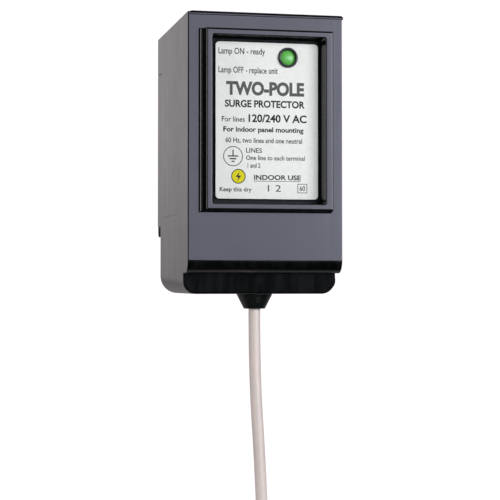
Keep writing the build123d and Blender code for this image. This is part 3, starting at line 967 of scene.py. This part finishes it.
def bare_strands():
    """Nineteen twisted copper strands: one, then six, then twelve round it."""
    strand = (BARE_HIGH.x - BARE_LOW.x) / 10
    centre = (BARE_LOW + BARE_HIGH) / 2
    top = BARE_HIGH.z + 0.4 * MM
    twist = 2.2
    packing = 0.985
    steps = 24
    work = bmesh.new()
    for layer, count in ((0, 1), (1, 6), (2, 12)):
        for number in range(count):
            points = []
            for step in range(steps + 1):
                share = step / steps
                angle = 2 * pi * number / count + twist * share
                reach = 2 * layer * strand * packing
                height = top + share * (BARE_LOW.z - top)
                points.append(
                    Vector((centre.x + reach * cos(angle), centre.y + reach * sin(angle), height))
                )
            tube(work, points, strand)
    piece = new_piece("bare_strands", finished_mesh("bare_strands", work), "copper")
    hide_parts("stripped_end")
    smooth_flats(piece)
    return piece


def add_cord():
    """The whole cord, which leaves the strain relief and hangs, with its tie and bare end."""
    cord = smooth_curve("neutral_cord", cord_points(), CORD_RADIUS)
    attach(cord, "housing")
    paint(cord, MATERIALS["cord_jacket"])
    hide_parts("pigtail_cord", "pigtail_hank", "pigtail_tail")
    cord_tie()
    bare_strands()


# ---- studio ----
def add_softbox(name, place, target, width, height, radiance, colour=(1, 1, 1), gloss_only=True):
    """A rectangular light that either shows only in gloss or lights everything but gloss."""
    data = bpy.data.lights.new(name, "AREA")
    data.shape = "RECTANGLE"
    data.size = width
    data.size_y = height
    data.color = colour
    data.energy = radiance * width * height * pi
    light = bpy.data.objects.new(name, data)
    light.location = place
    light.rotation_euler = (Vector(target) - Vector(place)).to_track_quat("-Z", "Y").to_euler()
    light.visible_glossy = gloss_only
    light.visible_diffuse = not gloss_only
    bpy.context.scene.collection.objects.link(light)


def upright_softbox(name, azimuths, low, high, radiance, colour):
    """A softbox 1.3 m away between two bearings, in degrees to the right of straight ahead."""
    distance = 1.3
    middle = radians(sum(azimuths) / 2)
    width = 2 * distance * tan(radians(azimuths[1] - azimuths[0]) / 2)
    height = (low + high) / 2
    place = (distance * sin(middle), FRONT_Y - distance * cos(middle), height)
    add_softbox(name, place, (0, FRONT_Y, height), width, high - low, radiance, colour)


def add_lights():
    """Softboxes that only the gloss shows, and plain fills that light everything else."""
    low, high = COVER_LOW.z - 0.075, COVER_LOW.z + 0.5
    upright_softbox("front_softbox", (-5, 45), low, high, 3.6, (0.88, 0.9, 1.15))
    upright_softbox("right_softbox", (19.5, 72), low, high, 5.0, (0.94, 0.94, 1.06))
    upright_softbox("left_strip", (-96, -78), low, high, 5.0, (1, 1, 1))
    aim = (0, FRONT_Y, 0)
    add_softbox("front_fill", (0.1, -1.35, 0.2), aim, 0.8, 0.8, 2.5, gloss_only=False)
    add_softbox("right_fill", (0.74, -1.08, 0.3), aim, 0.7, 0.7, 6.9, gloss_only=False)
    add_softbox("left_fill", (-1.3, -0.55, 0.0), aim, 0.6, 0.8, 3.2, gloss_only=False)


def add_world():
    """Pale all round from the left to the back, dark ahead, and white where the camera looks past."""
    world = bpy.data.worlds.new("studio")
    bpy.context.scene.world = world
    world.use_nodes = True
    tree = world.node_tree
    background = tree.nodes["Background"]
    direction = add_node(tree, "ShaderNodeTexCoord")
    parts = add_node(tree, "ShaderNodeSeparateXYZ")
    tree.links.new(direction.outputs["Generated"], parts.inputs["Vector"])
    ahead = calculate(tree, "MULTIPLY", parts.outputs["Y"], -1.0)
    azimuth = calculate(tree, "ARCTAN2", parts.outputs["X"], ahead)
    left = remap(tree, azimuth, radians(-62), radians(-72), 0.0, 0.62)
    right = remap(tree, azimuth, radians(95), radians(125), 0.0, 0.62)
    sides = calculate(tree, "ADD", left, right)
    lower = remap(tree, parts.outputs["Z"], 0.09, -0.08, 1.0, 0.45)
    overhead = remap(tree, parts.outputs["Z"], 0.55, 0.95, 1.0, 0.35)
    behind = remap(tree, parts.outputs["Y"], 0.05, 0.3, 0.0, 1.0)
    level = remap(tree, parts.outputs["Z"], -0.25, -0.5, 1.0, 0.0)
    floor_share = calculate(tree, "MAXIMUM", level, behind)
    heights = calculate(tree, "MULTIPLY", lower, overhead)
    banded = calculate(tree, "MULTIPLY", sides, floor_share)
    shaded = calculate(tree, "MULTIPLY", banded, heights)
    lit = calculate(tree, "ADD", shaded, 0.008)
    path = add_node(tree, "ShaderNodeLightPath")
    seen = calculate(tree, "MULTIPLY", path.outputs["Is Camera Ray"], 1.1)
    tree.links.new(calculate(tree, "MAXIMUM", lit, seen), background.inputs["Strength"])
    background.inputs["Color"].default_value = (1, 0.955, 0.985, 1)


def add_floor():
    """A pale round floor under the hanging cord, which thins out towards its edge."""
    radius = 0.42
    centre = Vector(((cad_box[0].x + cad_box[1].x) / 2, 0.02, cad_box[0].z - 0.012))
    work = bmesh.new()
    bmesh.ops.create_circle(work, cap_ends=True, segments=96, radius=radius)
    mesh = bpy.data.meshes.new("floor")
    work.to_mesh(mesh)
    work.free()
    floor = bpy.data.objects.new("floor", mesh)
    floor.location = centre
    bpy.context.scene.collection.objects.link(floor)
    material, tree, shader = new_material("floor_paper", (0.93, 0.93, 0.93), 0.9)
    place = add_node(tree, "ShaderNodeTexCoord")
    length = add_node(tree, "ShaderNodeVectorMath", operation="LENGTH")
    tree.links.new(place.outputs["Object"], length.inputs[0])
    cover = remap(tree, length.outputs["Value"], 0.3 * radius, 0.98 * radius, 1.0, 0.0)
    tree.links.new(cover, shader.inputs["Alpha"])
    add_bump(tree, shader, noise(tree, 1 * MM), 0.02 * MM)
    floor.data.materials.append(material)
    floor.visible_glossy = False


# ---- build ----
add_camera()
for node, shape in frame["nodes"].items():
    paint(shape, MATERIALS[SLOTS[node]])
add_cord()
cover_shell()
top_bead()
base_shell()
softened("rail_hook", "hook_plate", 0.15 * MM)
softened("hook_rivets", "hook_rivet_heads", 0.25 * MM)
softened("strain_relief", "cord_relief", 0.22 * MM, MATERIALS["relief"])
softened("strain_relief_pin", "relief_pin", 0.15 * MM, MATERIALS["hook_black"])
softened("cover_screws", "case_screws", 0.15 * MM)
softened("lamp_ring", "lamp_collar", 0.34 * MM)
for side in ("left", "right"):
    softened(f"jaw_terminal_{side}", f"terminal_block_{side}", 0.2 * MM)
    softened(f"jaw_spring_{side}", f"spring_clip_{side}", 0.15 * MM)
    for which in ("outer", "inner"):
        softened(f"jaw_finger_{side}_{which}", f"contact_{side}_{which}", 0.12 * MM)
label_printing()
add_world()
add_lights()
add_floor()
bpy.context.scene.view_settings.view_transform = "Standard"
